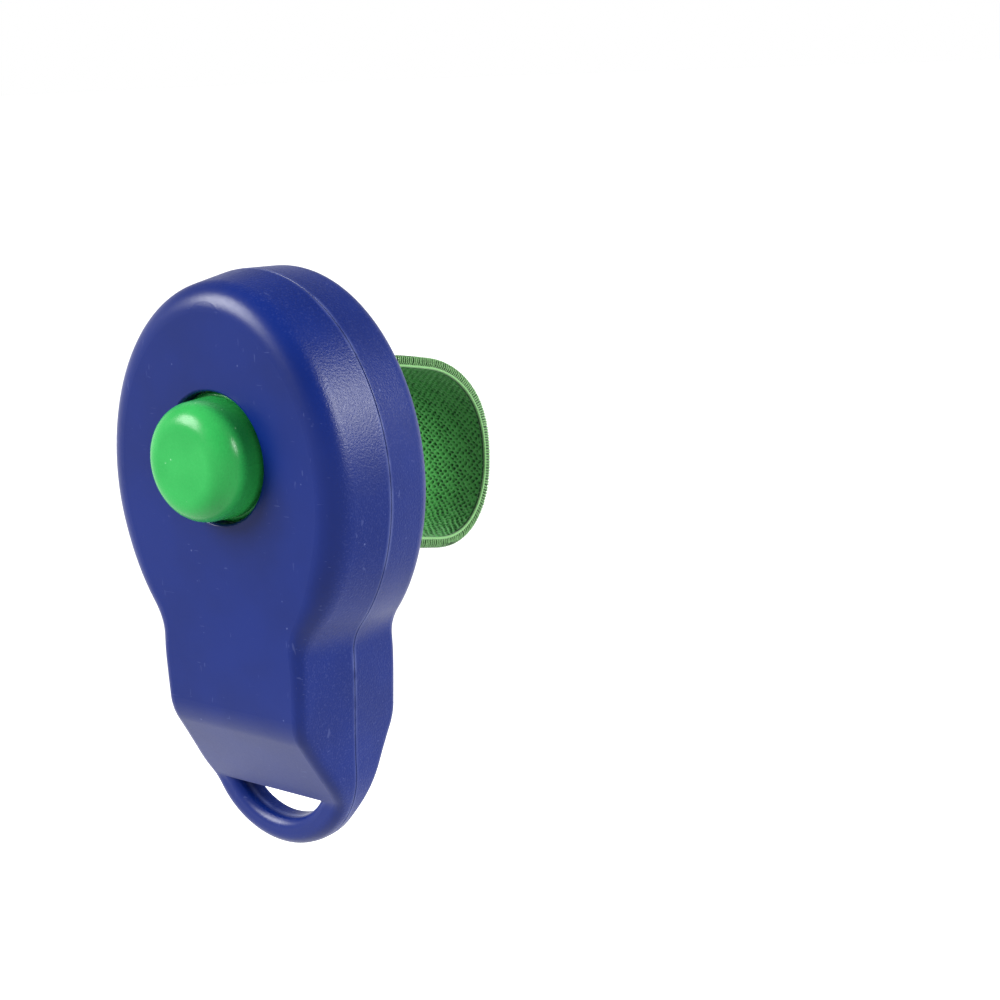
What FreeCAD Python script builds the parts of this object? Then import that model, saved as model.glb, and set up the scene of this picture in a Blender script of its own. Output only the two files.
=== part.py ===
import FreeCAD, Part
import math
import os

from FreeCAD import Vector

# Clicker trainer: a two-shell plastic casing with a raised push button, a spring-steel
# blade that snaps when the button is pressed, and an elastic band for one finger.
# Millimetres. +X is to the right of someone who looks at the button, the button faces -Y,
# the finger band stands out to +Y and +Z runs from the lanyard loop up to the head.
# Everything is drawn in the casing's own frame, which has its zero at the middle of the
# head on the parting plane, and is then moved so that the part's origin is the middle of
# the finger band's opening.

# ---------------------------------------------------------------- driving dimensions
# Outline of the casing on the parting plane (y = 0)
HEAD_HALF_WIDTH = 19.7
HEAD_TOP = 24.2
HEAD_LOW = 23.5            # lower half-height of the head's ellipse, hidden by the tail
TAIL_HALF_WIDTH = 12.65    # where the tail leaves the neck
TAIL_END_HALF_WIDTH = 12.0
TAIL_END_Z = -34.8         # here the tail's sides turn into its round end
TAIL_END_HEIGHT = 11.3
NECK_BLEND_UP = 2.2        # length of the neck's soft corner along the head
NECK_BLEND_DOWN = 2.0      # and along the tail

# Depth of the casing
FRONT_DEPTH = 8.1
REAR_DEPTH = 7.9
FRONT_DRAFT = 1.25         # how far the front face stands inside the parting outline
REAR_DRAFT = 0.30
WALL = 1.8
FRONT_RAMP_TOP_Z = -28.7
FRONT_RAMP_LOW_Z = -39.1
REAR_RAMP_TOP_Z = -29.9
REAR_RAMP_LOW_Z = -40.6
LOOP_FRONT = 1.7           # front of the lanyard loop, ahead of the parting plane
LOOP_REAR = 2.1
CREASE_RADIUS = 6.0        # where a face turns into its ramp
LOOP_BLEND_RADIUS = 2.5    # where a ramp runs out into the lanyard loop

# Rounding of the outer edges: large round the head, small on the tail and the lanyard
# loop, and shrinking between the two along the lower sides of the head
FRONT_ROUND = (3.4, 1.5)
REAR_ROUND = (2.7, 1.2)
PARTING_ROUND = 0.14       # small break along both shells' edges, seen as a fine line

# Lanyard slot
SLOT_HALF_WIDTH = 7.0
SLOT_TOP_Z = -38.8
SLOT_HEIGHT = 3.9
SLOT_ARC_CENTRE = 3.0      # height of the middle of the slot's arc above its straight top
SLOT_ROUND = {-1: 1.2, 1: 0.5}  # front and rear rim of the slot

# Tongue and groove between the shells
TONGUE_THICKNESS = 0.8
TONGUE_HEIGHT = 1.0
TONGUE_CLEARANCE = 0.06
CAVITY_FLOOR_Z = -31.5
CAVITY_CORNER = 2.0

# Button
BUTTON_Z = 3.2
BUTTON_HOLE_RADIUS = 7.75
BUTTON_HOLE_ROUND = 0.35
BUTTON_PROUD = 5.0         # front of the button ahead of the front face
BUTTON_BASE_RADIUS = 7.15
BUTTON_RIM_RADIUS = 7.0
BUTTON_ROUND = 3.0
BUTTON_GUIDE_RADIUS = 7.55
BUTTON_GUIDE_BELOW_FACE = 1.1
BUTTON_FLANGE_RADIUS = 9.2
BUTTON_FLANGE_THICKNESS = 1.1
BUTTON_FLANGE_GAP = 0.1
BUTTON_WALL = 1.7
BUTTON_STEM_RADIUS = 2.4
BUTTON_STEM_ROUND = 0.8

# Spring-steel blade
BLADE_FRONT_Y = -3.2
BLADE_THICKNESS = 0.35
BLADE_HALF_WIDTH = 6.2
BLADE_ROOT_Z = -23.0
BLADE_TIP_Z = 9.5
BLADE_TONGUE_HALF_WIDTH = 4.6
BLADE_SHOULDER_Z = -13.2
BLADE_CORNERS = {"root": 0.8, "shoulder": 1.4, "tip": 2.5}
BLADE_DISH_Z = -6.0
BLADE_DISH_RADIUS = 3.6
BLADE_DISH_DEPTH = 0.5
STEM_GAP = 0.05

# Pillar that the blade is screwed to
PILLAR_HALF_WIDTH = 7.2
PILLAR_LOW_Z = -23.6
PILLAR_TOP_Z = -15.0
BLADE_SCREW_X = 3.5
BLADE_SCREW_Z = -19.0

# Self-tapping screws: (shank radius, length below the head, head radius, head height)
BLADE_SCREW = (0.95, 6.0, 1.9, 1.2)
CASING_SCREW = (1.1, 8.2, 2.0, 1.4)
SCREW_POINT = (1.4, 0.2)   # length and end radius of the tapered point, in shank radii
SCREW_HEAD_ROUND = 0.6     # rounding of the head's edge, as a share of its height
CROSS_REACH = 0.55         # reach of the recess's arms, as a share of the head's radius
CROSS_THICKNESS = 0.14     # half thickness of its arms, likewise
CROSS_DEPTH = 0.6          # depth of the recess, as a share of the head's height
SCREW_CLEARANCE = 0.03
PILOT_SPARE = 0.5          # depth of a pilot hole beyond the screw's tip
CLEAR_HOLE_RADIUS = 1.35
CASING_SCREW_SEAT_Y = 5.2
COUNTERBORE_RADIUS = 2.35
CASING_BOSS_RADIUS = 3.0
CASING_SCREWS = {"top": (0.0, 18.3), "left": (-7.4, -27.2), "right": (7.4, -27.2)}

# Finger band
BAND_WIDTH = 19.0
BAND_THICKNESS = 1.2
BAND_LOOP_HALF_HEIGHT = 11.76  # outside of the loop
BAND_LOOP_REAR_Y = 30.8        # rearmost point of the loop
BAND_ARC_START_Y = 19.4        # the two runs start to curl together here
BAND_SQUARENESS = 2.18         # exponent of the loop's superellipse
BAND_MOUTH_Z = 1.3             # middle of the loop at the rear wall
BAND_REAR_MIDDLE_Z = -1.82     # middle of the loop at its rear, where it droops
BAND_SLOT_CLEARANCE = 0.25
BAND_CURVE_STEPS = 18          # points along half of the loop's curve
BAND_RUN_STEPS = 5             # points along each run
HEM_REAR_Y = 5.9
HEM_DEPTH = 4.0
HEM_HALF_HEIGHT = 2.1
HEM_ROUND = 1.2
PIN_RADIUS = 1.0
PIN_HALF_LENGTH = 11.5
PIN_CLEARANCE = 0.05
STITCH_RADIUS = 0.2
STITCH_COUNT = 7
STITCH_LENGTH = 1.5
STITCH_Y = 5.3

# The part's origin, in the casing's frame
FINGER_CENTRE = Vector(0, 18.8, -0.8)

X_AXIS = Vector(1, 0, 0)
Y_AXIS = Vector(0, 1, 0)
Z_AXIS = Vector(0, 0, 1)
BEYOND = 60.0              # longer than the casing in any direction
MARGIN = 1.0               # how far a cutting body stands past the face that it cuts
NEAR = 0.01                # two places closer than this are the same


# ---------------------------------------------------------------- small helpers
def point(x, y, z):
    return Vector(x, y, z)


def line(start, end):
    return Part.LineSegment(start, end).toShape()


def y_cylinder(x, z, radius, y_start, y_end):
    """A round bar along +Y."""
    return Part.makeCylinder(radius, y_end - y_start, point(x, y_start, z), Y_AXIS)


def box(x_half, y_start, y_end, z_low, z_top):
    """A block that is symmetric about x = 0."""
    size = (2 * x_half, y_end - y_start, z_top - z_low)
    return Part.makeBox(*size, point(-x_half, y_start, z_low))


def rounded_wire(corners):
    """A closed wire through corners (point, radius), each rounded by a tangent arc."""
    arcs = []
    for i, (corner, radius) in enumerate(corners):
        to_last = (corners[i - 1][0] - corner).normalize()
        to_next = (corners[(i + 1) % len(corners)][0] - corner).normalize()
        half_angle = to_last.getAngle(to_next) / 2
        reach = radius / math.tan(half_angle)
        inward = (to_last + to_next).normalize()
        on_arc = corner + inward * (radius / math.sin(half_angle) - radius)
        arcs.append((corner + to_last * reach, on_arc, corner + to_next * reach, radius))
    edges = []
    for i, (start, on_arc, end, radius) in enumerate(arcs):
        if radius > 0:
            edges.append(Part.Arc(start, on_arc, end).toShape())
        edges.append(line(end, arcs[(i + 1) % len(arcs)][0]))
    return Part.Wire(edges)


def extrude_x(wire, half_width):
    """The solid between x = -half_width and x = +half_width of a wire drawn at x = 0."""
    face = Part.Face(wire)
    face.translate(point(-half_width, 0, 0))
    return face.extrude(point(2 * half_width, 0, 0))


# ---------------------------------------------------------------- the casing's outline
def bezier(poles, weights=None):
    curve = Part.BezierCurve()
    curve.setPoles(poles)
    for i, weight in enumerate(weights or [], start=1):
        curve.setWeight(i, weight)
    return curve.toShape()


def ellipse_arc(y, centre_z, half_width, height, start, end):
    """Exact arc of an ellipse at depth y, between two angles measured from +X to +Z."""
    def on_ellipse(angle, stretch=1.0):
        x = half_width * stretch * math.cos(angle)
        return point(x, y, centre_z + height * stretch * math.sin(angle))

    weight = math.cos((end - start) / 2)
    corner = on_ellipse((start + end) / 2, 1 / weight)
    return bezier([on_ellipse(start), corner, on_ellipse(end)], [1, weight, 1])


def mirrored(edge):
    """The same curve on the other side of x = 0, running the other way."""
    curve = edge.Curve
    poles = [point(-p.x, p.y, p.z) for p in reversed(curve.getPoles())]
    return bezier(poles, list(reversed(curve.getWeights())))


def side_edges(y, inset):
    """Right half of the outline, from the crown down to where the tail's round end starts."""
    a = HEAD_HALF_WIDTH - inset
    top = HEAD_TOP - inset
    low = HEAD_LOW - inset
    tail = TAIL_HALF_WIDTH - inset
    neck_angle = -math.acos(tail / a)
    neck_z = low * math.sin(neck_angle)
    blend_angle = neck_angle + NECK_BLEND_UP / math.hypot(tail * low / a, neck_z * a / low)
    start = point(a * math.cos(blend_angle), y, low * math.sin(blend_angle))
    slope = (low * math.cos(blend_angle)) / (-a * math.sin(blend_angle))
    corner = point(tail, y, start.z + (tail - start.x) * slope)
    end = point(tail, y, neck_z - NECK_BLEND_DOWN)
    return [
        ellipse_arc(y, 0, a, top, math.pi / 2, 0),
        ellipse_arc(y, 0, a, low, 0, blend_angle),
        bezier([start, corner, end]),
        end,
    ]


def outline(y, inset):
    """The casing's closed outline at depth y, inset from the outline on the parting plane."""
    *upper, tail_start = side_edges(y, inset)
    tail = TAIL_END_HALF_WIDTH - inset
    tail_end = point(tail, y, TAIL_END_Z)
    end_height = TAIL_END_HEIGHT - inset
    handle = Z_AXIS * ((tail_start.z - TAIL_END_Z) / 3)
    right = upper + [
        bezier([tail_start, tail_start - handle, tail_end + handle, tail_end]),
        ellipse_arc(y, TAIL_END_Z, tail, end_height, 0, -math.pi / 2),
    ]
    return Part.Wire(right + [mirrored(e) for e in reversed(right)])


def cavity_outline(y, inset):
    """Outline of the hollow: the casing's outline, cut off by a floor above the slot."""
    *upper, tail_start = side_edges(y, inset)
    tail = TAIL_END_HALF_WIDTH - inset
    floor = CAVITY_FLOOR_Z + inset - WALL
    corner = point(tail, y, floor)
    above = point(tail, y, floor + CAVITY_CORNER)
    beside = point(tail - CAVITY_CORNER, y, floor)
    right = upper + [
        bezier([tail_start, above]),
        bezier([above, corner, beside], [1, math.sqrt(0.5), 1]),
        bezier([beside, point(0, y, floor)]),
    ]
    return Part.Wire(right + [mirrored(e) for e in reversed(right)])


def loft(near, far):
    return Part.makeLoft([near, far], True, True)


# ---------------------------------------------------------------- the casing's solid
def side_profile(sign, depth, ramp_top_z, ramp_low_z, loop_depth, offset):
    """Wire, at x = 0, of one half of the casing as seen from the side.

    sign is -1 for the front half and +1 for the rear half. offset moves the face and the
    ramp inwards, for the hollow.
    """
    run = ramp_top_z - ramp_low_z
    drop = depth - loop_depth
    along = math.hypot(run, drop)
    lower_top = offset * (along - run) / drop
    face = sign * (depth - offset)
    slope_low = point(0, sign * (loop_depth - offset), ramp_low_z + lower_top)
    slope_top = point(0, face, ramp_top_z + lower_top)
    corners = [
        (point(0, 0, BEYOND), 0),
        (point(0, face, BEYOND), 0),
        (slope_top, CREASE_RADIUS),
        (slope_low, LOOP_BLEND_RADIUS),
        (point(0, sign * (loop_depth - offset), -BEYOND), 0),
        (point(0, 0, -BEYOND), 0),
    ]
    return rounded_wire(corners)


def runs_down_the_face(edge, sign):
    """True for an edge between a face and the side, away from both symmetry planes."""
    first = edge.firstVertex().Point
    last = edge.lastVertex().Point
    off_parting = min(sign * first.y, sign * last.y) > NEAR
    off_middle = max(first.x, last.x) > NEAR
    return off_parting and off_middle and abs(first.z - last.z) > NEAR


def half_casing(sign, depth, draft, ramp, loop_depth, rounding):
    """Front (sign -1) or rear (sign +1) half of the casing, without hollow and slot."""
    block = loft(outline(0, 0), outline(sign * depth, draft))
    profile = side_profile(sign, depth, *ramp, loop_depth, 0)
    right_side = Part.makeBox(BEYOND, 2 * BEYOND, 2 * BEYOND, point(0, -BEYOND, -BEYOND))
    quarter = block.common(extrude_x(profile, BEYOND)).common(right_side)
    chain = [edge for edge in quarter.Edges if runs_down_the_face(edge, sign)]
    chain.sort(key=lambda edge: -edge.BoundBox.Center.z)
    quarter = quarter.makeFillet(*rounding, [chain[1]])
    other = quarter.mirror(point(0, 0, 0), X_AXIS)
    return quarter.fuse(other).removeSplitter()


def hollow(sign, depth, draft, ramp, loop_depth):
    """The space inside one half of the casing."""
    inner = depth - WALL
    near = cavity_outline(0, WALL)
    far = cavity_outline(sign * inner, WALL + draft * inner / depth)
    profile = side_profile(sign, depth, *ramp, loop_depth, WALL)
    return loft(near, far).common(extrude_x(profile, BEYOND))


def lanyard_slot():
    """The D-shaped hole through the foot of the casing, straight at the top."""
    front = -2 * FRONT_DEPTH
    left = point(-SLOT_HALF_WIDTH, front, SLOT_TOP_Z)
    right = point(SLOT_HALF_WIDTH, front, SLOT_TOP_Z)
    centre = SLOT_TOP_Z + SLOT_ARC_CENTRE
    height = SLOT_HEIGHT + SLOT_ARC_CENTRE
    start = -math.asin(SLOT_ARC_CENTRE / height)
    width = SLOT_HALF_WIDTH / math.cos(start)
    bow = [
        ellipse_arc(front, centre, width, height, start, -math.pi / 2),
        ellipse_arc(front, centre, width, height, -math.pi / 2, -math.pi - start),
    ]
    face = Part.Face(Part.Wire([line(left, right)] + bow))
    return face.extrude(Y_AXIS * (4 * FRONT_DEPTH))


def cut_slot(shape, sign):
    """Cut the lanyard slot and round its curved edge on the outside of the loop."""
    cut = shape.cut(lanyard_slot())
    curved = [edge for edge in cut.Edges if is_slot_bow(edge, sign)]
    return cut.makeFillet(SLOT_ROUND[sign], curved)


def is_slot_bow(edge, sign):
    """True for the slot's curved edge on the loop's outside."""
    bounds = edge.BoundBox
    outside = min(sign * edge.firstVertex().Y, sign * edge.lastVertex().Y) > NEAR
    below_top = bounds.ZMax < SLOT_TOP_Z + NEAR
    above_foot = bounds.ZMin > SLOT_TOP_Z - SLOT_HEIGHT - NEAR
    return outside and below_top and above_foot and bounds.ZLength > NEAR


FRONT = (-1, FRONT_DEPTH, FRONT_DRAFT, (FRONT_RAMP_TOP_Z, FRONT_RAMP_LOW_Z), LOOP_FRONT)
REAR = (1, REAR_DEPTH, REAR_DRAFT, (REAR_RAMP_TOP_Z, REAR_RAMP_LOW_Z), LOOP_REAR)


# ---------------------------------------------------------------- front and rear shell
def cavity_ring(outer_inset, y_start, y_end):
    """A flat-topped rim round the hollow, out to outer_inset from the parting outline."""
    length = y_end - y_start
    outer = Part.Face(cavity_outline(y_start, outer_inset)).extrude(Y_AXIS * length)
    inner = Part.Face(cavity_outline(y_start, WALL)).extrude(Y_AXIS * length)
    return outer.cut(inner)


def casing_bosses(radius, y_start, y_end):
    bars = [y_cylinder(x, z, radius, y_start, y_end) for x, z in CASING_SCREWS.values()]
    return bars[0].fuse(bars[1:])


def at_parting_outline(edge):
    bounds = edge.BoundBox
    return abs(bounds.YMin) < NEAR and abs(bounds.YMax) < NEAR


def front_shell():
    block = half_casing(*FRONT, FRONT_ROUND)
    block = block.makeFillet(PARTING_ROUND, [e for e in block.Edges if at_parting_outline(e)])
    shell = cut_slot(block, -1).cut(hollow(*FRONT))
    screw_tip_y = CASING_SCREW_SEAT_Y - CASING_SCREW[1]
    bosses = casing_bosses(CASING_BOSS_RADIUS, -FRONT_DEPTH, 0).common(block)
    pilot = CASING_SCREW[0] + SCREW_CLEARANCE
    pilots = casing_bosses(pilot, screw_tip_y - PILOT_SPARE, MARGIN)
    groove_outer = WALL - TONGUE_THICKNESS - TONGUE_CLEARANCE
    groove = cavity_ring(groove_outer, -TONGUE_HEIGHT - TONGUE_CLEARANCE, MARGIN)
    groove = groove.cut(casing_bosses(CASING_BOSS_RADIUS, -FRONT_DEPTH, 2 * MARGIN))
    return shell.cut(groove).fuse(bosses).cut(pilots).cut(button_hole())


def button_hole():
    """The round hole for the button, with its outer edge rounded."""
    face_y = -FRONT_DEPTH
    rounded = BUTTON_HOLE_RADIUS + BUTTON_HOLE_ROUND
    bore = y_cylinder(0, BUTTON_Z, BUTTON_HOLE_RADIUS, face_y - MARGIN, face_y + WALL + MARGIN)
    ring = y_cylinder(0, BUTTON_Z, rounded, face_y - MARGIN, face_y + BUTTON_HOLE_ROUND)
    torus_centre = point(0, face_y + BUTTON_HOLE_ROUND, BUTTON_Z)
    bead = Part.makeTorus(rounded, BUTTON_HOLE_ROUND, torus_centre, Y_AXIS)
    return bore.fuse(ring.cut(bead))


def rear_shell():
    block = half_casing(*REAR, REAR_ROUND)
    block = block.makeFillet(PARTING_ROUND, [e for e in block.Edges if at_parting_outline(e)])
    shell = cut_slot(block, 1).cut(hollow(*REAR))
    bosses = casing_bosses(CASING_BOSS_RADIUS, 0, REAR_DEPTH).common(block)
    tongue = cavity_ring(WALL - TONGUE_THICKNESS, -TONGUE_HEIGHT, 0)
    boss_gap = CASING_BOSS_RADIUS + 2 * TONGUE_CLEARANCE
    tongue = tongue.cut(casing_bosses(boss_gap, -FRONT_DEPTH, MARGIN))
    pillar_y = BLADE_FRONT_Y + BLADE_THICKNESS
    pillar = box(PILLAR_HALF_WIDTH, pillar_y, REAR_DEPTH - WALL, PILLAR_LOW_Z, PILLAR_TOP_Z)
    shell = shell.fuse([bosses, tongue, pillar])
    outside = REAR_DEPTH + MARGIN
    shell = shell.cut(casing_bosses(CLEAR_HOLE_RADIUS, -MARGIN, outside))
    shell = shell.cut(casing_bosses(COUNTERBORE_RADIUS, CASING_SCREW_SEAT_Y, outside))
    pilot = BLADE_SCREW[0] + SCREW_CLEARANCE
    pilot_end = BLADE_FRONT_Y + BLADE_SCREW[1] + PILOT_SPARE
    for x in (-BLADE_SCREW_X, BLADE_SCREW_X):
        shell = shell.cut(y_cylinder(x, BLADE_SCREW_Z, pilot, pillar_y - MARGIN, pilot_end))
    half_width = BAND_WIDTH / 2 + BAND_SLOT_CLEARANCE
    half_height = BAND_THICKNESS / 2 + BAND_SLOT_CLEARANCE
    inside = REAR_DEPTH - WALL - MARGIN
    for z in band_ends():
        shell = shell.cut(box(half_width, inside, outside, z - half_height, z + half_height))
    return shell


# ---------------------------------------------------------------- button and blade
def button():
    """The button: a hollow cap with a guide collar, a retaining flange and a stem."""
    front = -FRONT_DEPTH - BUTTON_PROUD
    rim = front + BUTTON_ROUND
    collar = -FRONT_DEPTH + BUTTON_GUIDE_BELOW_FACE
    flange_front = -FRONT_DEPTH + WALL + BUTTON_FLANGE_GAP
    flange_rear = flange_front + BUTTON_FLANGE_THICKNESS
    flat_radius = BUTTON_RIM_RADIUS - BUTTON_ROUND
    collar_round = BUTTON_GUIDE_RADIUS - BUTTON_BASE_RADIUS
    bulge = BUTTON_ROUND * math.sqrt(0.5)
    shoulder = collar_round * math.sqrt(0.5)

    def at(radius, y):
        return point(radius, y, 0)

    edges = [
        line(at(0, front), at(flat_radius, front)),
        Part.Arc(at(flat_radius, front), at(flat_radius + bulge, rim - bulge),
                 at(BUTTON_RIM_RADIUS, rim)).toShape(),
        line(at(BUTTON_RIM_RADIUS, rim), at(BUTTON_BASE_RADIUS, collar)),
        Part.Arc(at(BUTTON_BASE_RADIUS, collar),
                 at(BUTTON_BASE_RADIUS + shoulder, collar + collar_round - shoulder),
                 at(BUTTON_GUIDE_RADIUS, collar + collar_round)).toShape(),
        line(at(BUTTON_GUIDE_RADIUS, collar + collar_round), at(BUTTON_GUIDE_RADIUS, flange_front)),
        line(at(BUTTON_GUIDE_RADIUS, flange_front), at(BUTTON_FLANGE_RADIUS, flange_front)),
        line(at(BUTTON_FLANGE_RADIUS, flange_front), at(BUTTON_FLANGE_RADIUS, flange_rear)),
        line(at(BUTTON_FLANGE_RADIUS, flange_rear), at(0, flange_rear)),
        line(at(0, flange_rear), at(0, front)),
    ]
    body = Part.Face(Part.Wire(edges)).revolve(point(0, 0, 0), Y_AXIS, 360)
    core_radius = BUTTON_RIM_RADIUS - BUTTON_WALL
    core = y_cylinder(0, 0, core_radius, front + BUTTON_WALL, flange_rear + MARGIN)
    stem_tip = BLADE_FRONT_Y - STEM_GAP
    stem = y_cylinder(0, 0, BUTTON_STEM_RADIUS, front + BUTTON_WALL, stem_tip)
    stem_end = max(stem.Edges, key=lambda edge: edge.BoundBox.YMin)
    stem = stem.makeFillet(BUTTON_STEM_ROUND, [stem_end])
    shape = body.cut(core).fuse(stem)
    shape.translate(point(0, 0, BUTTON_Z))
    return shape


def clicker_blade():
    """Spring-steel tongue, screwed down at its root, with a pressed dish that snaps."""
    front = BLADE_FRONT_Y
    rear = front + BLADE_THICKNESS
    wide = BLADE_HALF_WIDTH
    narrow = BLADE_TONGUE_HALF_WIDTH
    right = [
        (point(narrow, front, BLADE_TIP_Z), BLADE_CORNERS["tip"]),
        (point(narrow, front, BLADE_SHOULDER_Z), BLADE_CORNERS["shoulder"]),
        (point(wide, front, BLADE_SHOULDER_Z), BLADE_CORNERS["root"]),
        (point(wide, front, BLADE_ROOT_Z), BLADE_CORNERS["root"]),
    ]
    left = [(point(-p.x, p.y, p.z), radius) for p, radius in reversed(right)]
    strip = Part.Face(rounded_wire(right + left)).extrude(Y_AXIS * BLADE_THICKNESS)
    for x in (-BLADE_SCREW_X, BLADE_SCREW_X):
        hole = BLADE_SCREW[0] + 2 * SCREW_CLEARANCE
        strip = strip.cut(y_cylinder(x, BLADE_SCREW_Z, hole, front - MARGIN, rear + MARGIN))
    sphere_radius = (BLADE_DISH_RADIUS ** 2 + BLADE_DISH_DEPTH ** 2) / (2 * BLADE_DISH_DEPTH)
    centre_y = rear + BLADE_DISH_DEPTH - sphere_radius
    centre = point(0, centre_y, BLADE_DISH_Z)
    dish = Part.makeSphere(sphere_radius, centre)
    dish = dish.cut(Part.makeSphere(sphere_radius - BLADE_THICKNESS, centre))
    dish_end = rear + BLADE_DISH_DEPTH + MARGIN
    plug = y_cylinder(0, BLADE_DISH_Z, BLADE_DISH_RADIUS, front - MARGIN, dish_end)
    return strip.cut(plug).fuse(dish.common(plug))


# ---------------------------------------------------------------- screws
def screw(x, z, seat_y, inward, size):
    """Pan-head self-tapping screw whose head sits on seat_y; inward is +1 or -1 along Y."""
    shank_radius, length, head_radius, head_height = size
    tip, point_radius = (shank_radius * share for share in SCREW_POINT)
    shank = Part.makeCylinder(shank_radius, length - tip, point(0, 0, 0), Y_AXIS)
    cone = Part.makeCone(shank_radius, point_radius, tip, point(0, length - tip, 0), Y_AXIS)
    head = Part.makeCylinder(head_radius, head_height, point(0, -head_height, 0), Y_AXIS)
    outer_edge = min(head.Edges, key=lambda edge: edge.BoundBox.YMax)
    head = head.makeFillet(head_height * SCREW_HEAD_ROUND, [outer_edge])
    reach = head_radius * CROSS_REACH
    half = head_radius * CROSS_THICKNESS
    floor = head_height * (CROSS_DEPTH - 1)
    cross = box(reach, -head_height, floor, -half, half)
    cross = cross.fuse(box(half, -head_height, floor, -reach, reach))
    shape = head.cut(cross).fuse([shank, cone])
    if inward < 0:
        shape.rotate(point(0, 0, 0), Z_AXIS, 180)
    shape.translate(point(x, seat_y, z))
    return shape


# ---------------------------------------------------------------- finger band
def band_middle(y):
    """Height of the loop's middle at depth y: the loop droops smoothly towards its rear."""
    along = (y - REAR_DEPTH) / (BAND_LOOP_REAR_Y - REAR_DEPTH)
    droop = (1 - math.cos(math.pi * along)) / 2
    return BAND_MOUTH_Z + (BAND_REAR_MIDDLE_Z - BAND_MOUTH_Z) * droop


def band_ends():
    """Heights of the two runs of the band where they pass through the rear wall."""
    reach = BAND_LOOP_HALF_HEIGHT - BAND_THICKNESS / 2
    return (BAND_MOUTH_Z + reach, BAND_MOUTH_Z - reach)


def band_curve(inset):
    """The loop's curve behind the rear wall: two even runs joined by a superellipse."""
    half_height = BAND_LOOP_HALF_HEIGHT - inset
    half_depth = BAND_LOOP_REAR_Y - BAND_ARC_START_Y - inset
    power = 2 / BAND_SQUARENESS
    run = (BAND_ARC_START_Y - REAR_DEPTH) / BAND_RUN_STEPS
    upper = [(REAR_DEPTH + run * i, half_height) for i in range(BAND_RUN_STEPS)]
    for i in range(BAND_CURVE_STEPS + 1):
        angle = math.pi / 2 * (1 - i / BAND_CURVE_STEPS)
        y = BAND_ARC_START_Y + half_depth * abs(math.cos(angle)) ** power
        upper.append((y, half_height * abs(math.sin(angle)) ** power))
    lower = [(y, -height) for y, height in reversed(upper[:-1])]
    curve = Part.BSplineCurve()
    curve.interpolate([point(0, y, band_middle(y) + height) for y, height in upper + lower])
    return curve.toShape()


def hem(z):
    """One end of the band, folded round its pin inside the casing."""
    half_width = BAND_WIDTH / 2
    front = HEM_REAR_Y - HEM_DEPTH
    block = box(half_width, front, HEM_REAR_Y, z - HEM_HALF_HEIGHT, z + HEM_HALF_HEIGHT)
    bounds = [(edge, edge.BoundBox) for edge in block.Edges]
    front_edges = [e for e, b in bounds if b.YMax < front + NEAR and b.XLength > half_width]
    block = block.makeFillet(HEM_ROUND, front_edges)
    tail = box(half_width, HEM_REAR_Y, REAR_DEPTH, z - BAND_THICKNESS / 2, z + BAND_THICKNESS / 2)
    hole = pin(z, PIN_RADIUS + PIN_CLEARANCE, half_width + MARGIN)
    return block.fuse(tail).cut(hole)


def pin(z, radius, half_length):
    """A round bar along X through the middle of a hem."""
    start = point(-half_length, HEM_REAR_Y - HEM_DEPTH / 2, z)
    return Part.makeCylinder(radius, 2 * half_length, start, X_AXIS)


def finger_band():
    outer = band_curve(0)
    inner = band_curve(BAND_THICKNESS)
    upper = line(outer.firstVertex().Point, inner.firstVertex().Point)
    lower = line(outer.lastVertex().Point, inner.lastVertex().Point)
    wire = Part.Wire([outer, lower, inner, upper])
    loop = extrude_x(wire, BAND_WIDTH / 2)
    return loop.fuse([hem(z) for z in band_ends()])


def hem_stitching(z):
    """Thread stitches along both faces of a hem."""
    pitch = BAND_WIDTH / STITCH_COUNT
    stitches = []
    for i in range(STITCH_COUNT):
        x = (i + 0.5) * pitch - BAND_WIDTH / 2 - STITCH_LENGTH / 2
        for side in (-1, 1):
            height = z + side * (HEM_HALF_HEIGHT + STITCH_RADIUS)
            start = point(x, STITCH_Y, height)
            stitches.append(Part.makeCylinder(STITCH_RADIUS, STITCH_LENGTH, start, X_AXIS))
    return Part.makeCompound(stitches)


# ---------------------------------------------------------------- the whole part
def all_nodes():
    upper_z, lower_z = band_ends()
    nodes = {
        "front_shell": front_shell(),
        "rear_shell": rear_shell(),
        "button": button(),
        "clicker_blade": clicker_blade(),
        "finger_band": finger_band(),
        "band_pin_upper": pin(upper_z, PIN_RADIUS, PIN_HALF_LENGTH),
        "band_pin_lower": pin(lower_z, PIN_RADIUS, PIN_HALF_LENGTH),
        "hem_stitching_upper": hem_stitching(upper_z),
        "hem_stitching_lower": hem_stitching(lower_z),
    }
    for name, (x, z) in CASING_SCREWS.items():
        nodes["casing_screw_" + name] = screw(x, z, CASING_SCREW_SEAT_Y, -1, CASING_SCREW)
    for name, x in (("left", -BLADE_SCREW_X), ("right", BLADE_SCREW_X)):
        nodes["blade_screw_" + name] = screw(x, BLADE_SCREW_Z, BLADE_FRONT_Y, 1, BLADE_SCREW)
    return nodes


os.makedirs("parts", exist_ok=True)
for name, shape in all_nodes().items():
    shape.translate(-FINGER_CENTRE)
    shape.exportStep("parts/" + name + ".step")
    print(name, shape.isValid(), len(shape.Solids), round(shape.Volume, 1))
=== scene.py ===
"""Looks of the clicker trainer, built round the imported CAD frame. Metres, row frame."""
import math

import bmesh
import bpy
import numpy as np
from mathutils import Matrix, Vector


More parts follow.
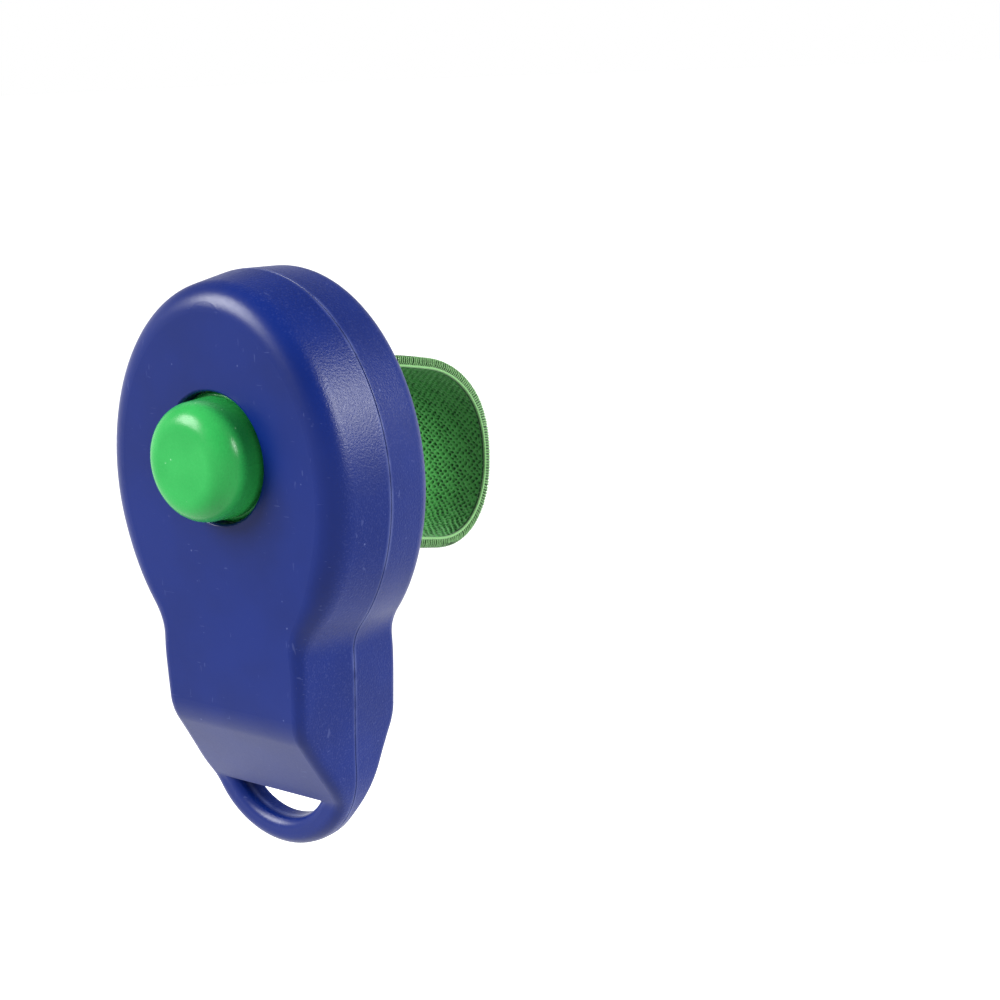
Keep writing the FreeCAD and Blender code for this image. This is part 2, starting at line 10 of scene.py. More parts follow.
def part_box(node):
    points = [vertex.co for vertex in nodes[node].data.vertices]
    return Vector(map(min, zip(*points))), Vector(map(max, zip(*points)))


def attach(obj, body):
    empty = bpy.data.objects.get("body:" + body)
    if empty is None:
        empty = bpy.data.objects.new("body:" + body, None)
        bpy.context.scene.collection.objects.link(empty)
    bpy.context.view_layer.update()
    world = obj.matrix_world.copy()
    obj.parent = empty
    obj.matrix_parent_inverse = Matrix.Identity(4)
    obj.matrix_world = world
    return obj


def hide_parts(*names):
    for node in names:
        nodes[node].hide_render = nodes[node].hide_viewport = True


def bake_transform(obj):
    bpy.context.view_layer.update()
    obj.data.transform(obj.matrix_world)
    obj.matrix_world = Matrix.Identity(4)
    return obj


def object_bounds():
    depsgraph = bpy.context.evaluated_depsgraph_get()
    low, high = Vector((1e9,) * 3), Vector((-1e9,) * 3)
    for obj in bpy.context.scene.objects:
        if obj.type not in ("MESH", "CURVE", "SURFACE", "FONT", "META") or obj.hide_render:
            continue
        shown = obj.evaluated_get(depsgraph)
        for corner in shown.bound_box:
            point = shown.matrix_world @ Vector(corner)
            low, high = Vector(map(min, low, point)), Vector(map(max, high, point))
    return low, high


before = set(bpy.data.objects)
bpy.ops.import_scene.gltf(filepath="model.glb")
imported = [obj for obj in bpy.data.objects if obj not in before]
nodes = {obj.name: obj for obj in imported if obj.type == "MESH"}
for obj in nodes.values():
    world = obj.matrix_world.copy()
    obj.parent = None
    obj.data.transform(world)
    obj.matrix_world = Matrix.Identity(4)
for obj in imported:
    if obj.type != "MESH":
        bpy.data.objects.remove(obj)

CAD_BOX = [list(corner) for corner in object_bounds()]
MM = 0.001
CASING_ORIGIN = (0.0, -18.8, 0.8)      # the casing's own origin, in mm in the row frame
RNG = np.random.default_rng(7)


def to_row(points):
    """Many points of the casing's frame, in mm, as an array in metres in the row frame."""
    return (np.array(points, float) + np.array(CASING_ORIGIN)) * MM


# ---------------------------------------------------------------- studio
SENSOR_WIDTH = 36.0
FOCAL_LENGTH = 71.14
CAMERA_PLACE = Vector((0.16358, -0.18103, 0.04678))
CAMERA_RIGHT = Vector((0.78858, 0.61380, -0.03740)).normalized()
CAMERA_BACK = Vector((0.60621, -0.76574, 0.21484)).normalized()
CEILING_STRENGTH = 0.39
SWEEP_TOP = 0.10             # sine of the height above the horizon where the white sweep ends
CEILING_START = 0.45         # and where the dimmer ceiling starts
FLOOR_EDGE = 12.0
FLOOR_GAP = 0.05 * MM        # the floor is this far below the part
GLOW_NEAR = 0.030            # the floor glows most within this distance of the casing's middle
GLOW_FAR = 0.070             # and least beyond this one
GLOW_NEAR_STRENGTH = 1.42
GLOW_FAR_STRENGTH = 0.68


def camera():
    """A camera at the photograph's viewing angle, without depth of field."""
    data = bpy.data.cameras.new("camera")
    data.sensor_width = SENSOR_WIDTH
    data.lens = FOCAL_LENGTH
    data.clip_start = 0.01
    data.clip_end = 20.0
    obj = bpy.data.objects.new("camera", data)
    axes = (CAMERA_RIGHT, CAMERA_BACK.cross(CAMERA_RIGHT), CAMERA_BACK, CAMERA_PLACE)
    obj.matrix_world = Matrix([[axis[i] for axis in axes] for i in range(3)] + [[0, 0, 0, 1]])
    bpy.context.scene.collection.objects.link(obj)
    bpy.context.scene.camera = obj


def soft_light(name, direction, angle, strength):
    """A distant light, as wide as a softbox that fills that angle in degrees."""
    data = bpy.data.lights.new(name, "SUN")
    data.angle = math.radians(angle)
    data.energy = strength
    obj = bpy.data.objects.new(name, data)
    obj.rotation_mode = "QUATERNION"
    obj.rotation_quaternion = Vector(direction).to_track_quat("Z", "Y")
    bpy.context.scene.collection.objects.link(obj)


def studio():
    """A white sweep all round at eye level under a dimmer ceiling, and three soft lights."""
    world = bpy.data.worlds.new("studio")
    bpy.context.scene.world = world
    world.use_nodes = True
    tree = world.node_tree
    direction = tree.nodes.new("ShaderNodeTexCoord").outputs["Generated"]
    split = tree.nodes.new("ShaderNodeSeparateXYZ")
    tree.links.new(direction, split.inputs[0])
    fade = tree.nodes.new("ShaderNodeMapRange")
    fade.interpolation_type = "SMOOTHSTEP"
    fade.inputs["From Min"].default_value = SWEEP_TOP
    fade.inputs["From Max"].default_value = CEILING_START
    fade.inputs["To Min"].default_value = 1.0
    fade.inputs["To Max"].default_value = CEILING_STRENGTH
    tree.links.new(split.outputs["Z"], fade.inputs["Value"])
    tree.links.new(fade.outputs["Result"], tree.nodes["Background"].inputs["Strength"])
    tree.nodes["Background"].inputs["Color"].default_value = (1.0, 1.0, 1.0, 1)
    soft_light("left_light", (-0.54, -0.64, 0.54), 34, 8.0)
    soft_light("right_light", (0.82, 0.38, 0.42), 28, 5.0)
    soft_light("glint_light", (0.86, 0.22, 0.44), 7, 1.6)
    bpy.context.scene.view_settings.view_transform = "Standard"


def floor():
    """A white floor that glows softly round the casing, so that shadows on it wash out."""
    height = CAD_BOX[0][2] - FLOOR_GAP
    mesh = bpy.data.meshes.new("floor")
    signs = ((-1, -1), (1, -1), (1, 1), (-1, 1))
    corners = [(x * FLOOR_EDGE, y * FLOOR_EDGE, height) for x, y in signs]
    mesh.from_pydata(corners, [], [(0, 1, 2, 3)])
    obj = bpy.data.objects.new("floor", mesh)
    bpy.context.scene.collection.objects.link(obj)
    tree, shader = new_material("studio_floor", (0.26, 0.26, 0.26), 0.9)
    shader.inputs["Specular IOR Level"].default_value = 0.0
    shader.inputs["Emission Color"].default_value = (1.0, 1.0, 1.0, 1)
    place = tree.nodes.new("ShaderNodeTexCoord").outputs["Object"]
    distance = tree.nodes.new("ShaderNodeVectorMath")
    distance.operation = "DISTANCE"
    distance.inputs[1].default_value = (0.0, CASING_ORIGIN[1] * MM, height)
    tree.links.new(place, distance.inputs[0])
    glow = tree.nodes.new("ShaderNodeMapRange")
    glow.interpolation_type = "SMOOTHSTEP"
    glow.inputs["From Min"].default_value = GLOW_NEAR
    glow.inputs["From Max"].default_value = GLOW_FAR
    glow.inputs["To Min"].default_value = GLOW_NEAR_STRENGTH
    glow.inputs["To Max"].default_value = GLOW_FAR_STRENGTH
    tree.links.new(distance.outputs["Value"], glow.inputs["Value"])
    tree.links.new(glow.outputs["Result"], shader.inputs["Emission Strength"])
    mesh.materials.append(bpy.data.materials["studio_floor"])


# ---------------------------------------------------------------- materials
def new_material(name, colour, roughness):
    material = bpy.data.materials.new(name)
    material.use_nodes = True
    tree = material.node_tree
    shader = tree.nodes["Principled BSDF"]
    shader.inputs["Base Color"].default_value = (*colour, 1)
    shader.inputs["Roughness"].default_value = roughness
    return tree, shader


class Nodes:
    """Short ways to add and link the nodes of one material."""

    def __init__(self, name, colour, roughness):
        self.tree, self.shader = new_material(name, colour, roughness)
        self.material = bpy.data.materials[name]
        coordinates = self.tree.nodes.new("ShaderNodeTexCoord")
        scale = self.tree.nodes.new("ShaderNodeVectorMath")
        scale.operation = "SCALE"
        scale.inputs["Scale"].default_value = 1 / MM
        self.link(coordinates.outputs["Object"], scale.inputs[0])
        self.mm = scale.outputs[0]
        self.normal = coordinates.outputs["Normal"]

    def link(self, output, socket):
        self.tree.links.new(output, socket)

    def put(self, value, socket):
        if isinstance(value, bpy.types.NodeSocket):
            self.link(value, socket)
        else:
            socket.default_value = value

    def noise(self, scale, detail=2.0, roughness=0.5, vector=None):
        made = self.tree.nodes.new("ShaderNodeTexNoise")
        made.inputs["Scale"].default_value = scale
        made.inputs["Detail"].default_value = detail
        made.inputs["Roughness"].default_value = roughness
        self.link(vector or self.mm, made.inputs["Vector"])
        return made.outputs["Fac"]

    def cells(self, scale):
        """Distance to the nearest of many scattered points."""
        made = self.tree.nodes.new("ShaderNodeTexVoronoi")
        made.inputs["Scale"].default_value = scale
        self.link(self.mm, made.inputs["Vector"])
        return made.outputs["Distance"]

    def stretched(self, factors):
        """The position in mm, scaled along each axis."""
        made = self.tree.nodes.new("ShaderNodeVectorMath")
        made.operation = "MULTIPLY"
        made.inputs[1].default_value = factors
        self.link(self.mm, made.inputs[0])
        return made.outputs[0]

    def ramp(self, value, low, high, out_low=0.0, out_high=1.0):
        """A smooth step from out_low at low to out_high at high."""
        made = self.tree.nodes.new("ShaderNodeMapRange")
        made.interpolation_type = "SMOOTHSTEP"
        made.inputs["From Min"].default_value = low
        made.inputs["From Max"].default_value = high
        made.inputs["To Min"].default_value = out_low
        made.inputs["To Max"].default_value = out_high
        self.link(value, made.inputs["Value"])
        return made.outputs["Result"]

    def maths(self, operation, first, second=0.0):
        made = self.tree.nodes.new("ShaderNodeMath")
        made.operation = operation
        self.put(first, made.inputs[0])
        self.put(second, made.inputs[1])
        return made.outputs[0]

    def mix(self, factor, first, second):
        """Colours first and second mixed by factor."""
        made = self.tree.nodes.new("ShaderNodeMix")
        made.data_type = "RGBA"
        self.put(factor, made.inputs[0])
        for value, socket in ((first, made.inputs[6]), (second, made.inputs[7])):
            self.put((*value, 1) if isinstance(value, tuple) else value, socket)
        return made.outputs[2]

    def attribute(self, name):
        made = self.tree.nodes.new("ShaderNodeAttribute")
        made.attribute_name = name
        return made.outputs["Fac"]

    def axis(self, vector, index):
        made = self.tree.nodes.new("ShaderNodeSeparateXYZ")
        self.link(vector, made.inputs[0])
        return made.outputs[index]

    def colour(self, value):
        self.link(value, self.shader.inputs["Base Color"])

    def roughness(self, value):
        self.link(value, self.shader.inputs["Roughness"])

    def bump(self, height, strength, distance):
        made = self.tree.nodes.new("ShaderNodeBump")
        made.inputs["Strength"].default_value = strength
        made.inputs["Distance"].default_value = distance
        self.link(height, made.inputs["Height"])
        self.link(made.outputs["Normal"], self.shader.inputs["Normal"])


def casing_material():
    """Deep blue plastic: satin faces, spark-eroded sides, dust, scratches, painted glints on the
    sides and a seam painted pale to lift the shade in its groove.
    """
    n = Nodes("casing_plastic", (0.002, 0.010, 0.11), 0.34)
    n.shader.inputs["Specular IOR Level"].default_value = 0.175
    cloud = n.ramp(n.noise(0.09, 3.0), 0.3, 0.7)
    base = n.mix(cloud, (0.0002, 0.0066, 0.072), (0.0005, 0.0082, 0.086))
    # 1 on the sides, whose normal is square to y, and 0 on the front and rear faces
    side = n.ramp(n.maths("ABSOLUTE", n.axis(n.normal, 1)), 0.80, 0.35)
    grain = n.noise(3.9, 2.0, 0.6)
    # pale marks: painted highlights on grains of the sides, dust, hair scratches, and a parting
    # line painted pale to lift the shade in its groove
    glints = n.ramp(n.noise(4.2, 1.5, 0.5), 0.55, 0.70)
    # painted highlight: pale dots on the sides where grains would catch the light
    painted_grain_glints = n.maths("MULTIPLY", n.maths("MULTIPLY", glints, side), 0.05)
    patches = n.ramp(n.noise(0.8), 0.50, 0.56)
    dust = n.maths("MULTIPLY", n.ramp(n.cells(0.42), 0.065, 0.030), patches)
    flat_hair = n.noise(1.9, 0.0, 0.5, n.stretched((0.35, 1.0, 2.4)))
    tall_hair = n.noise(1.7, 0.0, 0.5, n.stretched((2.2, 1.0, 0.40)))
    hair = n.maths("MAXIMUM", flat_hair, tall_hair)
    scratch = n.maths("MULTIPLY", n.ramp(hair, 0.780, 0.795), n.ramp(n.noise(0.33), 0.54, 0.62))
    # painted light: a pale line along the parting seam, lifting the shade that falls in its groove
    seam = n.maths("ABSOLUTE", n.maths("SUBTRACT", n.axis(n.mm, 1), CASING_ORIGIN[1]))
    seam_light_amount = n.ramp(n.noise(0.35), 0.40, 0.65, 0.09, 0.24)
    painted_seam_light = n.maths("MULTIPLY", n.ramp(seam, 0.55, 0.0), seam_light_amount)
    # real dust and scratches together with the painted glints and the painted seam light
    marks_and_painted_light = n.maths("MAXIMUM", n.maths("MULTIPLY", dust, 0.30), painted_grain_glints)
    marks_and_painted_light = n.maths("MAXIMUM", marks_and_painted_light, n.maths("MULTIPLY", scratch, 0.10))
    marks_and_painted_light = n.maths("MAXIMUM", marks_and_painted_light, painted_seam_light)
    n.colour(n.mix(marks_and_painted_light, base, (0.15, 0.18, 0.36)))
    satin = n.ramp(grain, 0.2, 0.8, 0.29, 0.36)
    n.roughness(n.maths("ADD", satin, n.maths("MULTIPLY", side, 0.04)))
    height = n.maths("MULTIPLY", grain, n.ramp(side, 0.0, 1.0, 0.10, 1.0))
    n.bump(height, 0.90, 0.05 * MM)
    return n.material


def button_material():
    """Glossy green plastic with a faint ripple, fine dust and handling marks."""
    n = Nodes("button_plastic", (0.02, 0.24, 0.05), 0.24)
    n.shader.inputs["Specular IOR Level"].default_value = 0.14
    cloud = n.ramp(n.noise(0.16, 2.0), 0.3, 0.7)
    dust = n.ramp(n.cells(0.45), 0.05, 0.02)
    base = n.mix(cloud, (0.013, 0.200, 0.040), (0.018, 0.228, 0.048))
    n.colour(n.mix(n.maths("MULTIPLY", dust, 0.4), base, (0.5, 0.8, 0.55)))
    n.roughness(n.ramp(n.noise(1.6, 3.0), 0.3, 0.75, 0.24, 0.31))
    n.bump(n.noise(0.55, 2.0), 0.20, 0.05 * MM)
    return n.material


def knit_material():
    """Knitted elastic tape: light loops, painted shade in its holes and under the whip stitches,
    painted light across the middle of its width, uneven dye and a little fuzz.
    """
    n = Nodes("elastic_knit", (0.03, 0.20, 0.03), 0.85)
    n.shader.inputs["Sheen Weight"].default_value = 0.10
    n.shader.inputs["Sheen Roughness"].default_value = 0.6
    n.shader.inputs["Specular IOR Level"].default_value = 0.20
    fibre = n.noise(9.0, 2.0, 0.6)
    patch = n.ramp(n.noise(0.30, 2.0), 0.35, 0.65)
    yarn = n.mix(n.ramp(fibre, 0.3, 0.7), (0.017, 0.130, 0.020), (0.050, 0.260, 0.045))
    yarn = n.mix(patch, yarn, (0.034, 0.205, 0.034))
    # painted light: the yarn lighter towards the middle of the tape's width, with painted shade
    # towards its curved edges
    painted_middle_light = n.ramp(n.maths("ABSOLUTE", n.axis(n.mm, 0)), 8.8, 1.0, 0.0, 0.55)
    yarn = n.mix(painted_middle_light, yarn, (0.048, 0.318, 0.052))
    # painted shade: the yarn darkened in the holes and under the whip stitches by the attribute
    n.colour(n.mix(n.attribute("painted_hole_shade"), yarn, (0.0015, 0.026, 0.004)))
    n.bump(fibre, 0.5, 0.05 * MM)
    return n.material


def thread_material(name, low, high):
    """Spun thread: fine twisted fibres."""
    n = Nodes(name, high, 0.7)
    n.shader.inputs["Sheen Weight"].default_value = 0.2
    fibre = n.noise(11.0, 2.0, 0.6)
    n.colour(n.mix(n.ramp(fibre, 0.3, 0.7), low, high))
    n.bump(fibre, 0.5, 0.04 * MM)
    return n.material


def steel_material(name, colour, roughness, grain):
    """Bright steel with a drawn or rolled grain along one axis."""
    n = Nodes(name, colour, roughness)
    n.shader.inputs["Metallic"].default_value = 1.0
    streaks = n.noise(1.3, 4.0, 0.6, n.stretched(grain))
    dull = tuple(channel * 0.72 for channel in colour)
    n.colour(n.mix(n.ramp(streaks, 0.35, 0.65), dull, colour))
    n.roughness(n.ramp(streaks, 0.3, 0.7, roughness * 0.8, roughness * 1.35))
    n.bump(streaks, 0.25, 0.02 * MM)
    return n.material


def dress(name, material):
    """Give a CAD node this material only."""
    mesh = nodes[name].data
    mesh.materials.clear()
    mesh.materials.append(material)


# ---------------------------------------------------------------- meshes
def new_piece(name, vertices, faces, material):
    """A smooth mesh object made from points in the casing's frame, in mm."""
    mesh = bpy.data.meshes.new(name)
    mesh.from_pydata(to_row(vertices).tolist(), [], faces)
    mesh.materials.append(material)
    mesh.polygons.foreach_set("use_smooth", [True] * len(mesh.polygons))
    mesh.update()
    obj = bpy.data.objects.new(name, mesh)
    bpy.context.scene.collection.objects.link(obj)
    return obj


def tube(path, radius, sides):
    """Vertices and faces of a round bar along the points of path, closed at both ends."""
    path = np.asarray(path, float)
    tangent = np.gradient(path, axis=0)
    tangent /= np.linalg.norm(tangent, axis=1)[:, None]
    upright = abs(tangent[0][2]) >= 0.9
    helper = np.array([1.0, 0.1, 0.0] if upright else [0.31, 0.22, 0.92])
    side = np.cross(tangent, helper)
    side /= np.linalg.norm(side, axis=1)[:, None]
    other = np.cross(tangent, side)
    turn = np.arange(sides) * 2 * math.pi / sides
    radius = np.broadcast_to(radius, (len(path),))
    ring = (
        path[:, None]
        + radius[:, None, None] * np.cos(turn)[None, :, None] * side[:, None]
        + radius[:, None, None] * np.sin(turn)[None, :, None] * other[:, None]
    )
    faces = []
    rows = len(path)
    for i in range(rows - 1):
        here = i * sides
        after = here + sides
        for k in range(sides):
            right = (k + 1) % sides
            faces.append((here + k, here + right, after + right, after + k))
    faces.append(tuple(range(sides - 1, -1, -1)))
    faces.append(tuple((rows - 1) * sides + k for k in range(sides)))
    return ring.reshape(-1, 3), faces


def tubes(parts):
    """Several tubes as one set of vertices and faces."""
    vertices = []
    faces = []
    count = 0
    for points, quads in parts:
        vertices.append(points)
        faces += [tuple(i + count for i in face) for face in quads]
        count += len(points)
    return np.concatenate(vertices), faces


# ---------------------------------------------------------------- finger band
# all lengths in mm, and all places in the casing's frame
BAND_HALF_WIDTH = 9.5
BAND_HALF_THICKNESS = 0.6
LOOP_HALF_HEIGHT = 11.76 - BAND_HALF_THICKNESS
LOOP_END = 30.8              # the rearmost point of the loop
LOOP_REAR = LOOP_END - BAND_HALF_THICKNESS
LOOP_ARC_START = 19.4        # where the two runs begin to curve round
LOOP_SQUARENESS = 2.18       # 2 would be an ellipse
LOOP_MOUTH_Z = 1.3           # the loop's middle at the casing
LOOP_REAR_MIDDLE_Z = -1.82   # and at its rear
REAR_FACE = 7.9
PIN_Y = 3.9
FOLD_RADIUS = 1.55           # of the tape's middle round a pin
KNIT_ALONG = 0.90            # repeat of the knit along the tape, with two holes in it
KNIT_ACROSS = 0.92
KNIT_ROWS = 7                # rows and columns of the mesh in one repeat
KNIT_COLUMNS = 6
KNIT_LUMP = 0.06             # height of the yarn's lumps and of the slanting strands
KNIT_STRAND = 0.03
KNIT_HOLE = 0.28             # depth of a hole
EDGE_RADIUS = 0.25           # the tape's rounded edges
CORD_RADIUS = 0.17           # the smooth cord along each edge
WHIP_RADIUS = 0.105          # the whip stitches over it
WHIP_PITCH = 0.36
SEWING_PITCH = 2.6           # the lockstitches in the folded ends
SEWING_COUNT = 7
SEWING_RADIUS = 0.19
SEWING_HALF_LENGTH = 1.0
SEWING_HEIGHT = 1.34         # of a stitch's middle above the middle of the folded end
SEWING_DIP = 0.42            # how far a stitch's ends sink in
SEWING_Y = 5.35


def loop_middle(y):
    """Height of the loop's middle: it droops towards its rear."""
    droop = (1 - math.cos(math.pi * (y - REAR_FACE) / (LOOP_END - REAR_FACE))) / 2
    return LOOP_MOUTH_Z + (LOOP_REAR_MIDDLE_Z - LOOP_MOUTH_Z) * droop


def band_line():
    """Middle line of the tape in (y, z), from its upper cut end, round both pins and the loop."""
    # a folded end, with z measured from the middle of the run it belongs to
    fold = [(5.95, -0.62), (5.5, -0.62), (5.05, -0.86), (4.5, -1.40)]
    for i in range(13):
        angle = -math.pi / 2 - math.pi * i / 12
        fold.append((PIN_Y + FOLD_RADIUS * math.cos(angle), FOLD_RADIUS * math.sin(angle)))
    fold += [(4.5, 1.40), (5.05, 0.86), (5.5, 0.62), (5.95, 0.50), (6.5, 0.15), (7.2, 0.0)]
    upper = [(y, LOOP_MOUTH_Z + LOOP_HALF_HEIGHT + z) for y, z in fold]
    lower = [(y, LOOP_MOUTH_Z - LOOP_HALF_HEIGHT - z) for y, z in reversed(fold)]
    run = [(y, LOOP_HALF_HEIGHT) for y in np.linspace(REAR_FACE, LOOP_ARC_START, 33)]
    power = 2 / LOOP_SQUARENESS
    for angle in np.linspace(math.pi / 2, -math.pi / 2, 241)[1:-1]:
        y = LOOP_ARC_START + (LOOP_REAR - LOOP_ARC_START) * math.cos(angle) ** power
        run.append((y, LOOP_HALF_HEIGHT * math.copysign(abs(math.sin(angle)) ** power, angle)))
    run += [(y, -LOOP_HALF_HEIGHT) for y in np.linspace(LOOP_ARC_START, REAR_FACE, 33)]
    loop = [(y, z + loop_middle(y)) for y, z in run]
    line = np.array(upper + loop + lower)
    for _ in range(3):           # soften the joints between the pieces of the line
        line[1:-1] = (line[:-2] + 2 * line[1:-1] + line[2:]) / 4
    return line


class Tape:
    """The tape's middle line by arc length, with its outward normal in the y-z plane."""

    def __init__(self, line):
        steps = np.linalg.norm(np.diff(line, axis=0), axis=1)
        self.s = np.concatenate([[0], np.cumsum(steps)])
        self.length = self.s[-1]
        self.line = line

    def at(self, s):
        """Position (y, z) and outward normal (y, z) at arc length s."""
        step = 0.15
        y, y_after, y_before = (np.interp(s + d, self.s, self.line[:, 0]) for d in (0, step, -step))
        z, z_after, z_before = (np.interp(s + d, self.s, self.line[:, 1]) for d in (0, step, -step))
        dy = y_after - y_before
        dz = z_after - z_before
        size = np.hypot(dy, dz)
        return y, z, -dz / size, dy / size

    def place(self, s, x, out):
        """Points at arc length s, width position x and height out of the middle surface."""
        y, z, ny, nz = self.at(np.asarray(s, float))
        return np.stack([np.broadcast_to(x, y.shape), y + ny * out, z + nz * out], -1)

    def outside(self):
        """Arc lengths where the tape leaves the casing and where it comes back."""
        out = np.where(self.line[:, 0] > REAR_FACE - 0.4)[0]
        return self.s[out[0]], self.s[out[-1]]


def knit_height(s, x, seed):
    """Relief of the knit, in mm, and how deep in a hole a point is, from 0 to 1."""
    slow = 0.45 * np.sin(2.1 * s + 1.3 * x + seed) + 0.50 * np.sin(5.3 * x - 3.1 * s + 2 * seed)
    quick = 0.55 * np.sin(7.7 * s + 4.9 * x + 3 * seed) + 0.35 * np.sin(1.7 * s - 0.9 * x)
    along = 2 * math.pi * s / KNIT_ALONG + slow
    across = 2 * math.pi * x / KNIT_ACROSS + quick
    lattice = np.cos(along) * np.cos(across)
    uneven = 0.16 * np.sin(3.7 * s + 6.1 * x) + 0.14 * np.sin(9.1 * x - 2.3 * s + seed)
    hole = np.clip((uneven - 0.18 - lattice) / 0.46, 0, 1)
    hole = hole * hole * (3 - 2 * hole)
    strand = 0.5 + 0.5 * np.cos(2 * along + across)
    lump = np.clip(lattice, 0, 1)
    return KNIT_LUMP * lump + KNIT_STRAND * strand - KNIT_HOLE * hole, hole


def finger_band(tape, material):
    """The knitted tape: one closed skin, pierced-looking on both faces, plain inside the casing."""
    start, end = tape.outside()
    fine = np.arange(start, end, KNIT_ALONG / KNIT_ROWS)
    s = np.concatenate([
        np.linspace(0, start, 30)[:-1], fine, np.linspace(fine[-1], tape.length, 31)[1:],
    ])
    flat = BAND_HALF_WIDTH - EDGE_RADIUS
    columns = round(2 * flat / (KNIT_ACROSS / KNIT_COLUMNS))
    face = np.linspace(-flat, flat, columns + 1)
    turn = np.linspace(-math.pi / 2, math.pi / 2, 7)[1:-1]
    rounding = flat + EDGE_RADIUS * np.cos(turn)
    bulge = BAND_HALF_THICKNESS * np.sin(turn)
    x = np.concatenate([face, rounding, face[::-1], -rounding[::-1]])
    out = np.concatenate([
        np.full(face.shape, -BAND_HALF_THICKNESS), bulge,
        np.full(face.shape, BAND_HALF_THICKNESS), bulge[::-1],
    ])
    side = np.sign(out) * (np.abs(out) == BAND_HALF_THICKNESS)
    fade = np.minimum(s - start, end - s)[:, None].clip(0, 1)
    fade = fade * ((flat - np.abs(x)) / 0.35).clip(0, 1)[None, :] * np.abs(side)[None, :]
    relief, hole = knit_height(s[:, None], x[None, :], side[None, :])
    heights = out[None, :] + side[None, :] * relief * fade
    y, z, ny, nz = tape.at(s)
    grid = np.stack([
        np.broadcast_to(x, heights.shape),
        y[:, None] + ny[:, None] * heights,
        z[:, None] + nz[:, None] * heights,
    ], -1)
    rows, around = heights.shape
    index = np.arange(rows * around).reshape(rows, around)
    after = np.roll(index, -1, 1)
    quads = np.stack([index[:-1], after[:-1], after[1:], index[1:]], -1).reshape(-1, 4)
    faces = quads.tolist() + [index[0, ::-1].tolist(), index[-1].tolist()]
    obj = new_piece("finger_band_knit", grid.reshape(-1, 3), faces, material)
    # painted shade: this attribute darkens the yarn in the holes and under the whip stitches
    painted_edge_shade = ((np.abs(x) - flat + 0.3) / 0.3).clip(0, 1)[None, :]
    painted_hole_shade = np.maximum(hole * fade, painted_edge_shade)
    shade_attribute = obj.data.attributes.new("painted_hole_shade", "FLOAT", "POINT")
    shade_attribute.data.foreach_set("value", painted_hole_shade.reshape(-1).astype(np.float32))
    return obj


def selvedge(tape, sign, material):
    """Overlocked edge: a smooth cord along the inner corner and whip stitches over the edge."""
    start, end = tape.outside()
    s = np.arange(start + 0.1, end - 0.1, 0.30)
    parts = [tube(tape.place(s, sign * (BAND_HALF_WIDTH - 0.02), -0.50), CORD_RADIUS, 8)]
    turn = np.linspace(-0.58, 0.58, 8) * math.pi
    for painted_middle_light in np.arange(start + 0.3, end - 0.3, WHIP_PITCH):
        lean = RNG.uniform(-0.04, 0.04)
        swell = RNG.uniform(0.95, 1.08)
        x = sign * (BAND_HALF_WIDTH - 0.28 + 0.40 * np.cos(turn) * swell)
        out = 0.08 + 0.60 * np.sin(turn)
        along = painted_middle_light + lean + 0.11 * np.sin(turn)
        radius = WHIP_RADIUS * (1 - 0.25 * np.abs(np.sin(turn)))
        parts.append(tube(tape.place(along, x, out), radius, 6))
    vertices, faces = tubes(parts)
    name = "band_selvedge_right" if sign > 0 else "band_selvedge_left"
    return new_piece(name, vertices, faces, material)


def hem_thread(upper, material):
    """A row of lockstitches on both faces of a folded end."""
    parts = []
    centre = LOOP_MOUTH_Z + (LOOP_HALF_HEIGHT if upper else -LOOP_HALF_HEIGHT)
    along = np.linspace(-SEWING_HALF_LENGTH, SEWING_HALF_LENGTH, 11)
    height = SEWING_HEIGHT - SEWING_DIP * np.abs(along) ** 4
    for k in range(SEWING_COUNT):
        x = (k - (SEWING_COUNT - 1) / 2) * SEWING_PITCH + along
        for level in (-1, 1):
            path = np.stack([x, SEWING_Y + 0.08 * along, centre + level * height], -1)
            parts.append(tube(path, SEWING_RADIUS, 8))
    vertices, faces = tubes(parts)
    name = "hem_thread_upper" if upper else "hem_thread_lower"
    return new_piece(name, vertices, faces, material)


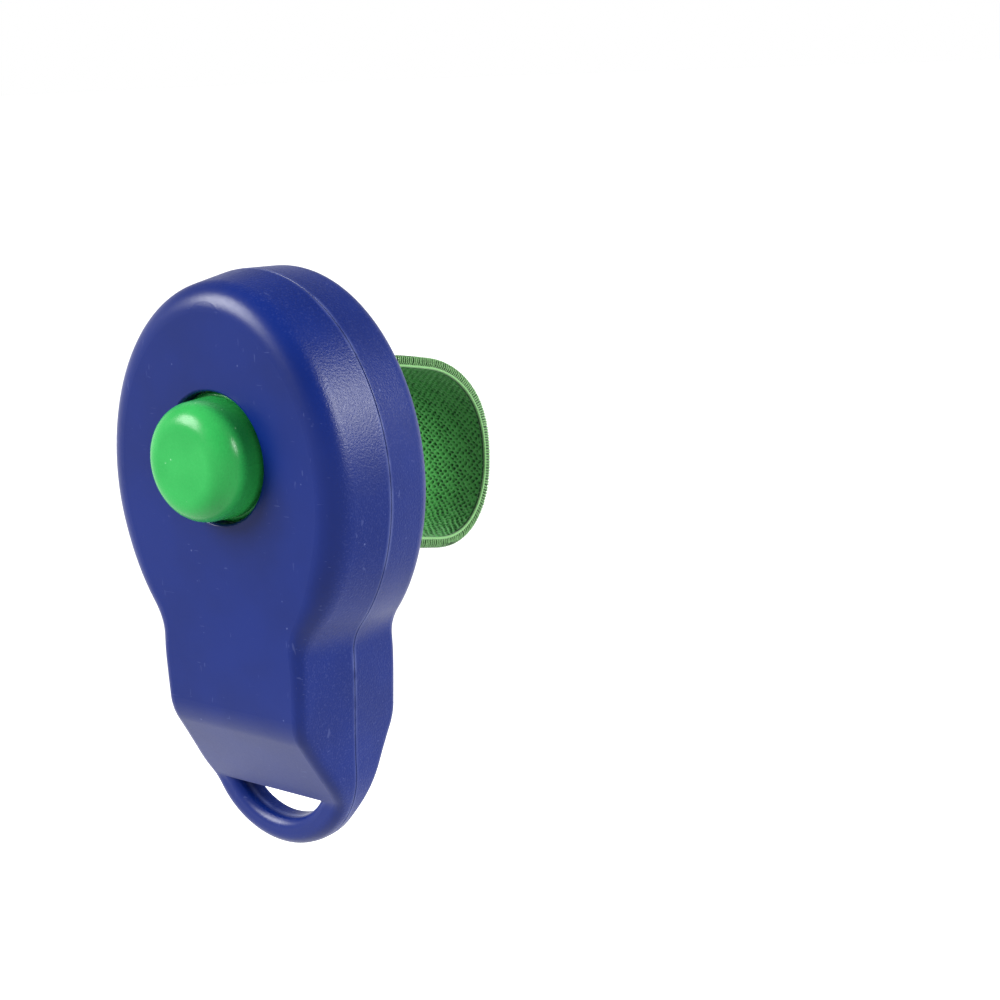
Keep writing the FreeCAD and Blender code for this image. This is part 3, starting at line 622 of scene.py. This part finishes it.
# ---------------------------------------------------------------- blade
BLADE_STRIPS = 40


def blade(material):
    """The spring blade, cut into short strips so that its tongue can bend under the stem."""
    mesh = nodes["clicker_blade"].data.copy()
    mesh.name = "snap_blade"
    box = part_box("clicker_blade")
    low = box[0][2]
    high = box[1][2]
    work = bmesh.new()
    work.from_mesh(mesh)
    for k in range(1, BLADE_STRIPS):
        height = low + (high - low) * k / BLADE_STRIPS
        everything = work.verts[:] + work.edges[:] + work.faces[:]
        bmesh.ops.bisect_plane(work, geom=everything, plane_co=(0, 0, height), plane_no=(0, 0, 1))
    work.to_mesh(mesh)
    work.free()
    mesh.materials.clear()
    mesh.materials.append(material)
    obj = bpy.data.objects.new("snap_blade", mesh)
    bpy.context.scene.collection.objects.link(obj)
    return obj


# ---------------------------------------------------------------- assembly
camera()
studio()
floor()

casing = casing_material()
for name in ("front_shell", "rear_shell"):
    dress(name, casing)
dress("button", button_material())
plated = steel_material("plated_screw", (0.56, 0.56, 0.55), 0.30, (1.0, 0.25, 1.0))
for name in ("casing_screw_top", "casing_screw_left", "casing_screw_right",
             "blade_screw_left", "blade_screw_right"):
    dress(name, plated)
pin_steel = steel_material("drawn_pin", (0.60, 0.60, 0.61), 0.26, (0.12, 1.0, 1.0))
for name in ("band_pin_upper", "band_pin_lower"):
    dress(name, pin_steel)

tape = Tape(band_line())
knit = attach(finger_band(tape, knit_material()), "casing")
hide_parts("finger_band")
edging = thread_material("edge_thread", (0.045, 0.160, 0.038), (0.125, 0.290, 0.090))
edges = [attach(selvedge(tape, sign, edging), "casing") for sign in (-1, 1)]
sewing = thread_material("sewing_thread", (0.05, 0.30, 0.06), (0.12, 0.48, 0.12))
for upper, node in ((True, "hem_stitching_upper"), (False, "hem_stitching_lower")):
    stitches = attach(hem_thread(upper, sewing), "casing")
    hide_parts(node)

spring = steel_material("blued_spring", (0.50, 0.51, 0.53), 0.24, (1.0, 1.0, 0.10))
leaf = blade(spring)
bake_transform(leaf)
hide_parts("clicker_blade")
